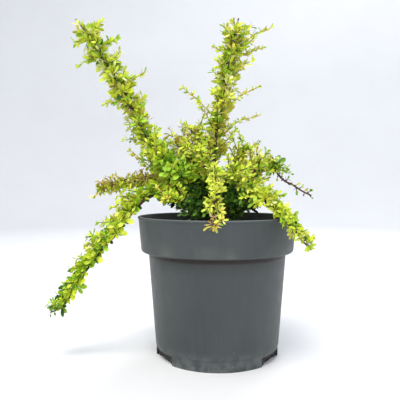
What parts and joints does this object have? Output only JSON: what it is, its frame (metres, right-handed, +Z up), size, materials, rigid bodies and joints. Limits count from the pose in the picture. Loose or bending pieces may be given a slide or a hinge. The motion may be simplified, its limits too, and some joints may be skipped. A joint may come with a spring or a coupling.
{
  "type": "potted japanese barberry shrub",
  "caption": "Young deciduous shrub with long leafy upright and weeping shoots over a low mound, growing in a round plastic nursery pot.",
  "frame": {"origin": "middle of the pot's flat underside, at the level of the surface it stands on", "axes": "+Z up along the pot's axis, +X to the right of the side the shrub is seen from, -Y towards the viewer"},
  "size_m": [0.3252, 0.258, 0.4082],
  "materials": {
    "pot_plastic": "injection-moulded polypropylene, slate grey, satin, a little dusty",
    "growing_medium": "moist composted bark",
    "bark": "thin ridged bark, dark purplish brown",
    "leaf_green": "matt leaves, fresh green",
    "leaf_lime": "matt leaves, yellow-green",
    "leaf_gold": "matt new leaves, golden with a bronze flush"
  },
  "bodies": {
    "root": {"pot": "pot_plastic", "growing_medium": "growing_medium", "basal_stem": "bark", "bough_left_rise": "bark", "bough_right_rise": "bark", "bough_left_arch": "bark", "bough_right_arch": "bark", "bough_front_arch": "bark", "bough_back_arch": "bark", "bough_left_side": "bark", "bough_right_side": "bark", "bough_top_left": "bark", "bough_top_middle": "bark", "bough_top_right": "bark", "bough_left_shoulder": "bark", "bough_front_left": "bark", "bough_front_left_low": "bark", "bough_centre_front": "bark", "bough_front_right": "bark", "bough_right_front": "bark", "bough_right_low": "bark", "bough_back_left": "bark", "bough_back_right": "bark", "left_rise_lower": "leaf_green", "left_rise_upper": "leaf_green", "right_rise_lower": "leaf_green", "right_rise_upper": "leaf_green", "left_arch_upper": "leaf_lime", "left_arch_middle": "leaf_lime", "left_arch_tip": "leaf_lime", "right_arch_upper": "leaf_lime", "right_arch_tip": "leaf_lime", "front_arch_upper": "leaf_gold", "front_arch_tip": "leaf_gold", "back_arch_upper": "leaf_lime", "back_arch_tip": "leaf_lime", "left_side": "leaf_gold", "right_side_inner": "leaf_lime", "right_side_tip": "leaf_lime", "top_left": "leaf_gold", "top_middle": "leaf_gold", "top_right": "leaf_lime", "left_shoulder": "leaf_green", "front_left": "leaf_green", "front_left_low": "leaf_lime", "centre_front": "leaf_lime", "front_right": "leaf_lime", "right_front": "leaf_lime", "right_low": "leaf_green", "back_left": "leaf_green", "back_right": "leaf_lime"}
  },
  "joints": []
}
